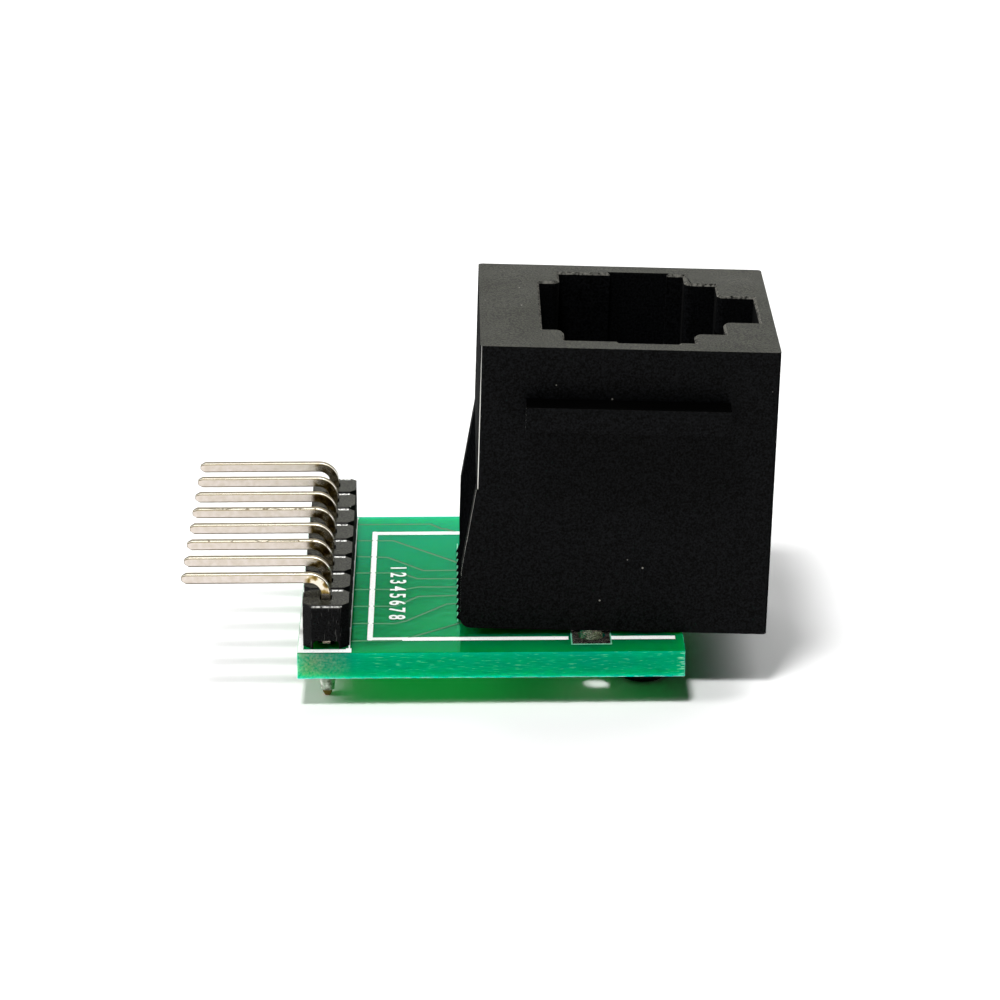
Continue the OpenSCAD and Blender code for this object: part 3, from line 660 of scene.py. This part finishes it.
# The comb's foot is ragged where its ribs were trimmed: a tooth at each rib, 0.5 mm tall.
TEETH = 11
TOOTH_HEIGHT = 0.5 * MM
first_tooth = (COMB_LEFT + 0.1 * MM, JACK_FOOT.y - 5.2 * MM, BOARD_HIGH[2] + TOOTH_HEIGHT / 2)
bpy.ops.mesh.primitive_cone_add(
    vertices=4, radius1=0.3 * MM, radius2=0.1 * MM, depth=TOOTH_HEIGHT, location=first_tooth)
tooth = bpy.context.object
tooth.name = tooth.data.name = "comb_tooth_1"
bpy.ops.object.transform_apply(location=True, rotation=True, scale=True)
dress(tooth, carrier_plastic, "carrier_plastic")
for step in range(1, TEETH):
    copy = bpy.data.objects.new(f"comb_tooth_{step + 1}", tooth.data.copy())
    bpy.context.collection.objects.link(copy)
    copy.data.transform(Matrix.Translation((0, step * CONTACT_PITCH, 0)))
    dress(copy, carrier_plastic, "carrier_plastic")

# ---- the header, its pins and the soldered joints ----

insulator = worked_copy("header_insulator", "header_strip")
# The wells close on the pins: each is drawn in round its pin's foot, to about two thirds of its width.
WELL_REACH, WELL_SHRINK = 0.55 * MM, 0.68
for way in WAYS:
    low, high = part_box(f"header_pin_{way}")
    foot = Vector((high[0] - PIN_SIDE / 2, (low[1] + high[1]) / 2, 0.0))
    for vertex in insulator.data.vertices:
        away = vertex.co - foot
        if vertex.co.z > BOARD_HIGH[2] + MM and max(abs(away.x), abs(away.y)) < WELL_REACH:
            vertex.co.x, vertex.co.y = foot.x + away.x * WELL_SHRINK, foot.y + away.y * WELL_SHRINK
bevel_where(insulator, sharp, width=0.1, segments=1)
smooth(insulator, degrees=20)
dress(insulator, header_plastic, "header_plastic", "header_insulator")

for way in WAYS:
    pin = worked_copy(f"header_pin_{way}", f"square_pin_{way}")
    bevel_where(pin, sharp, width=0.04, segments=1)
    smooth(pin, degrees=14)
    dress(pin, pin_finish, "header_metal", f"header_pin_{way}")
    for node, name, finish, slot in (
            ("jack_contact", "contact_wire", wire_finish, "contact_metal"),
            ("header_solder", "header_joint", solder_finish, "solder"),
            ("contact_solder", "contact_joint", solder_finish, "solder")):
        piece = worked_copy(f"{node}_{way}", f"{name}_{way}")
        smooth(piece, degrees=50)
        dress(piece, finish, slot, f"{node}_{way}")

# ---- the board, its traces and its print ----

board = worked_copy("board", "printed_board")
bevel_where(board, lambda edge: sharp(edge, 60), width=0.04, segments=1)
smooth(board)
dress(board, board_finish, "circuit_board", "board")


def raised_line(name, points, width, height):
    """A low ridge along points on the board, as an ink line or a masked trace has; all in mm."""
    bpy.ops.curve.primitive_nurbs_path_add()
    piece = bpy.context.object
    piece.name = piece.data.name = name
    piece.location = (0, 0, 0)
    piece.data.splines.clear()
    path = piece.data.splines.new("POLY")
    path.points.add(len(points) - 1)
    for spot, point in zip(path.points, points):
        spot.co = (*on_board(*point), 1.0)
    # A wider ring at each turn keeps the line's width through it.
    for before, spot, after in zip(path.points, path.points[1:], path.points[2:]):
        turn = (spot.co - before.co).xyz.angle((after.co - spot.co).xyz)
        spot.radius = 1 / math.cos(turn / 2)
    piece.data.dimensions = "3D"
    piece.data.bevel_depth = width / 2 * MM
    piece.data.bevel_resolution = 1
    piece.data.use_fill_caps = True
    select_only(piece)
    bpy.ops.object.convert(target="MESH")
    middle = BOARD_HIGH[2]
    for vertex in piece.data.vertices:
        vertex.co.z = middle + (vertex.co.z - middle) * 2 * height / width
    smooth(piece, degrees=30)
    return piece


TRACES = (
    ((2.6, 19.69), (7.11, 19.68), (7.73, 18.92), (8.02, 18.85), (9.0, 17.9)),
    ((2.6, 17.03), (4.95, 17.0), (9.2, 12.9)),
    ((2.6, 14.5), (4.68, 14.3), (6.73, 12.18), (9.2, 12.2)),
    ((2.6, 11.87), (5.42, 11.84), (6.39, 10.92), (9.2, 10.88)),
    ((2.6, 9.33), (5.73, 9.28), (6.45, 9.64), (9.2, 9.6)),
    ((2.6, 6.77), (5.2, 6.73), (6.46, 8.19), (9.2, 8.35)),
    ((2.6, 4.25), (5.22, 4.16), (5.89, 4.6), (8.05, 7.01), (9.2, 7.1)),
    ((2.6, 1.7), (5.54, 1.73), (7.16, 2.93), (9.2, 4.5)))
for number, points in enumerate(TRACES, 1):
    trace = raised_line(f"trace_{number}", points, width=0.2, height=0.02)
    dress(trace, trace_finish, "circuit_board")

# Legend lines, each with its ends and width: the screen prints those along the row of pins finer
# than those across it. The jack's outline stops short of the two spare shield-tab pads.
LEGEND = {
    "jack_outline_left": (((3.89, 1.7), (3.89, 18.42)), 0.3),
    "jack_outline_near": (((3.76, 1.92), (14.66, 1.92)), 0.48),
    "jack_outline_near_end": (((16.98, 1.92), (20.45, 1.92)), 0.48),
    "jack_outline_far": (((3.76, 18.2), (14.66, 18.2)), 0.48),
    "jack_outline_far_end": (((16.98, 18.2), (20.45, 18.2)), 0.48),
    "header_outline_left": (((0.17, 0.06), (0.17, 20.84)), 0.3),
    "header_outline_right": (((2.8, 0.3), (2.8, 20.7)), 0.09),
    "header_outline_near": (((0.06, 0.29), (2.9, 0.29)), 0.46),
    "header_outline_far": (((0.06, 20.68), (2.9, 20.68)), 0.3),
    "header_outline_corner": (((2.62, 0.35), (2.92, 0.35)), 0.6)}
# Each line stands a micron higher than the last, so that where two cross no tops lie in one plane.
INK_HEIGHT, MICRON = 0.03, 0.001
for number, (name, (points, width)) in enumerate(LEGEND.items()):
    line = raised_line(name, points, width, height=INK_HEIGHT + MICRON * number)
    dress(line, ink, "circuit_board")

# The mask is heaped and pale round each spare shield-tab pad; along the comb's foot a pale line is a
# painted highlight between its teeth.
foot_line = (COMB_LEFT - BOARD_LOW[0]) / MM - 0.11
foot_ends = ((foot_line, 4.4), (foot_line, 16.4))
foot_rim_highlight = raised_line("mask_rim_foot_highlight", foot_ends, width=0.07, height=0.02)
dress(foot_rim_highlight, rim_finish, "circuit_board")
left_rim, right_rim = TAB_ALONG - TAB_OPENING, TAB_ALONG + TAB_OPENING
for side, outward, inward in (("near", 1.02, 3.2), ("far", 19.1, 16.9)):
    corners = ((left_rim, inward), (left_rim, outward), (right_rim, outward), (right_rim, inward))
    rim = raised_line(f"mask_rim_{side}", corners, width=0.09, height=0.015)
    dress(rim, rim_finish, "circuit_board")


def printed_digits(name, words, spot, height, width, turn):
    """Pin numbers in legend ink, lying on the board; sizes in mm."""
    bpy.ops.object.text_add()
    piece = bpy.context.object
    piece.name = piece.data.name = name
    piece.data.body = words
    # The font's digits stand 1 / 1.38 of its size high, and the offset makes their strokes bolder.
    piece.data.size = height * 1.38 * MM
    piece.data.offset = 0.02 * MM
    piece.data.extrude = 0.015 * MM
    piece.data.align_x, piece.data.align_y = "CENTER", "CENTER"
    bpy.ops.object.convert(target="MESH")
    piece = bpy.context.object
    run = max(v.co.x for v in piece.data.vertices) - min(v.co.x for v in piece.data.vertices)
    piece.data.transform(Matrix.Diagonal((width * MM / run, 1.0, 1.0, 1.0)))
    piece.data.transform(
        Matrix.Translation(on_board(*spot, 0.012)) @ Matrix.Rotation(math.radians(turn), 4, "Z"))
    return piece


digits = printed_digits(
    "way_numbers", "1 2 3 4 5 6 7 8", spot=(5.27, 8.81), height=0.9, width=7.9, turn=-90)
dress(digits, ink, "circuit_board")


def tinned_pad(side):
    """A spare shield-tab pad: a tinned rectangle round its plated hole, on both faces of the board."""
    jack_middle, tab_offset = 10.06, 7.745
    top_centre = on_board(TAB_ALONG, jack_middle + side * tab_offset)
    centre = (top_centre.x, top_centre.y, (BOARD_LOW[2] + BOARD_HIGH[2]) / 2)
    hole_radius, tin_wall, through = 0.8 * MM, 0.03 * MM, 4 * MM
    bpy.ops.mesh.primitive_cube_add(
        size=1, location=centre, scale=(2.06 * MM, 2.6 * MM, BOARD_THICKNESS + 0.05 * MM))
    plate = bpy.context.object
    plate.name = plate.data.name = f"shield_tab_pad_{'far' if side > 0 else 'near'}"
    bpy.ops.mesh.primitive_cylinder_add(
        vertices=48, radius=hole_radius - tin_wall, depth=through, location=centre)
    drill = bpy.context.object
    # All of the plate goes that lies within the board, but for the tin on the hole's wall.
    bpy.ops.mesh.primitive_cube_add(
        size=1, location=centre, scale=(3 * MM, 3.5 * MM, BOARD_THICKNESS))
    slab = bpy.context.object
    bpy.ops.mesh.primitive_cylinder_add(
        vertices=48, radius=hole_radius, depth=through, location=centre)
    barrel = bpy.context.object
    drill_out(slab, barrel)
    drill_out(plate, slab)
    drill_out(plate, drill)
    for tool in (slab, barrel, drill):
        bpy.data.objects.remove(tool)
    select_only(plate)
    bpy.ops.object.transform_apply(location=True, rotation=True, scale=True)
    smooth(plate, degrees=30)
    return plate


for side in (-1, 1):
    dress(tinned_pad(side), pad_finish, "solder")

# ---- studio ----

white, tree = new_material("white_sweep")
add(tree, "OutputMaterial", {"Surface": add(tree, "BsdfPrincipled", {
    "Base Color": shade("#fcfcfc"), "Roughness": 0.9, "Specular IOR Level": 0.0})})
bpy.ops.mesh.primitive_plane_add(size=3.0, location=(0, 0, 0))
floor = bpy.context.object
floor.name = "floor"
floor.data.materials.append(white)
floor.select_set(False)

world = bpy.data.worlds.new("studio")
bpy.context.scene.world = world
world.use_nodes = True
tree = world.node_tree
tree.nodes.clear()
seen = add(tree, "LightPath")
direct = add(tree, "Math", {
    0: seen.outputs["Is Camera Ray"], 1: seen.outputs["Is Glossy Ray"]}, operation="MAXIMUM")
clear = add(tree, "Math", {0: direct, 1: seen.outputs["Is Transmission Ray"]}, operation="MAXIMUM")
strength = add(tree, "MapRange", {"Value": clear, "To Min": 0.03, "To Max": 1.0})
# The sweep is pure white to the eye, and the room that metal and plastic mirror is a little warmer.
room = add(tree, "Mix", {
    FACTOR: seen.outputs["Is Camera Ray"],
    FIRST: shade("#fffdf4"), SECOND: shade("#ffffff")}, data_type="RGBA")
add(tree, "OutputWorld", {"Surface": add(tree, "Background", {"Color": room, "Strength": strength})})


def softbox(name, spot, size, power):
    """A round lamp that looks at the part; spot and size in mm, power in watts."""
    bpy.ops.object.light_add(type="AREA", location=[v * MM for v in spot])
    lamp = bpy.context.object
    lamp.name = name
    lamp.data.shape = "DISK"
    lamp.data.size = size * MM
    lamp.data.energy = power
    lamp.rotation_euler = (-lamp.location).to_track_quat("-Z", "Y").to_euler()
    lamp.select_set(False)


softbox("key_softbox", (-69, -168, 500), 100, 1.93)
softbox("side_softbox", (-420, -122, 350), 240, 1.45)
softbox("back_softbox", (148, 440, 500), 770, 3.8)

# The path tracer brings only about a third of the laminate's green light down to the floor,
# so two lamps under the board add the rest: a weaker one where the jack covers the board.
LAMINATE_GREEN = (0.01, 1.0, 0.12)
for name, left, right, power in (
        ("light_through_open_board", 0.2, 11.0, 0.00013),
        ("light_through_covered_board", 11.0, 20.7, 0.00005)):
    below = Vector((0, 0, BOARD_THICKNESS + 0.05 * MM))
    bpy.ops.object.light_add(type="AREA", location=on_board((left + right) / 2, 10.5) - below)
    lamp = bpy.context.object
    lamp.name = name
    lamp.data.shape = "RECTANGLE"
    lamp.data.size, lamp.data.size_y = (right - left) * MM, 20.6 * MM
    lamp.data.energy = power
    lamp.data.color = LAMINATE_GREEN
    lamp.visible_camera = lamp.visible_glossy = lamp.visible_transmission = False
    lamp.select_set(False)

# ---- camera ----

CAMERA_PLACE = Vector((-1.133, -207.20, 84.084)) * MM
DOWN, TURN, ROLL = math.radians(20.15), math.radians(0.646), math.radians(-0.142)
ahead = Vector((math.sin(TURN) * math.cos(DOWN), math.cos(TURN) * math.cos(DOWN), -math.sin(DOWN)))
level = Vector((math.cos(TURN), -math.sin(TURN), 0.0))
upright = level.cross(ahead)
right = math.cos(ROLL) * level + math.sin(ROLL) * upright
top = -math.sin(ROLL) * level + math.cos(ROLL) * upright
bpy.ops.object.camera_add()
camera = bpy.context.object
camera.data.lens = 142.2
camera.data.sensor_width = 36.0
camera.data.clip_start, camera.data.clip_end = 0.01, 10.0
stance = Matrix((right, top, -ahead)).transposed().to_4x4()
camera.matrix_world = Matrix.Translation(CAMERA_PLACE) @ stance
bpy.context.scene.camera = camera
camera.select_set(False)
bpy.context.scene.view_settings.view_transform = "Standard"
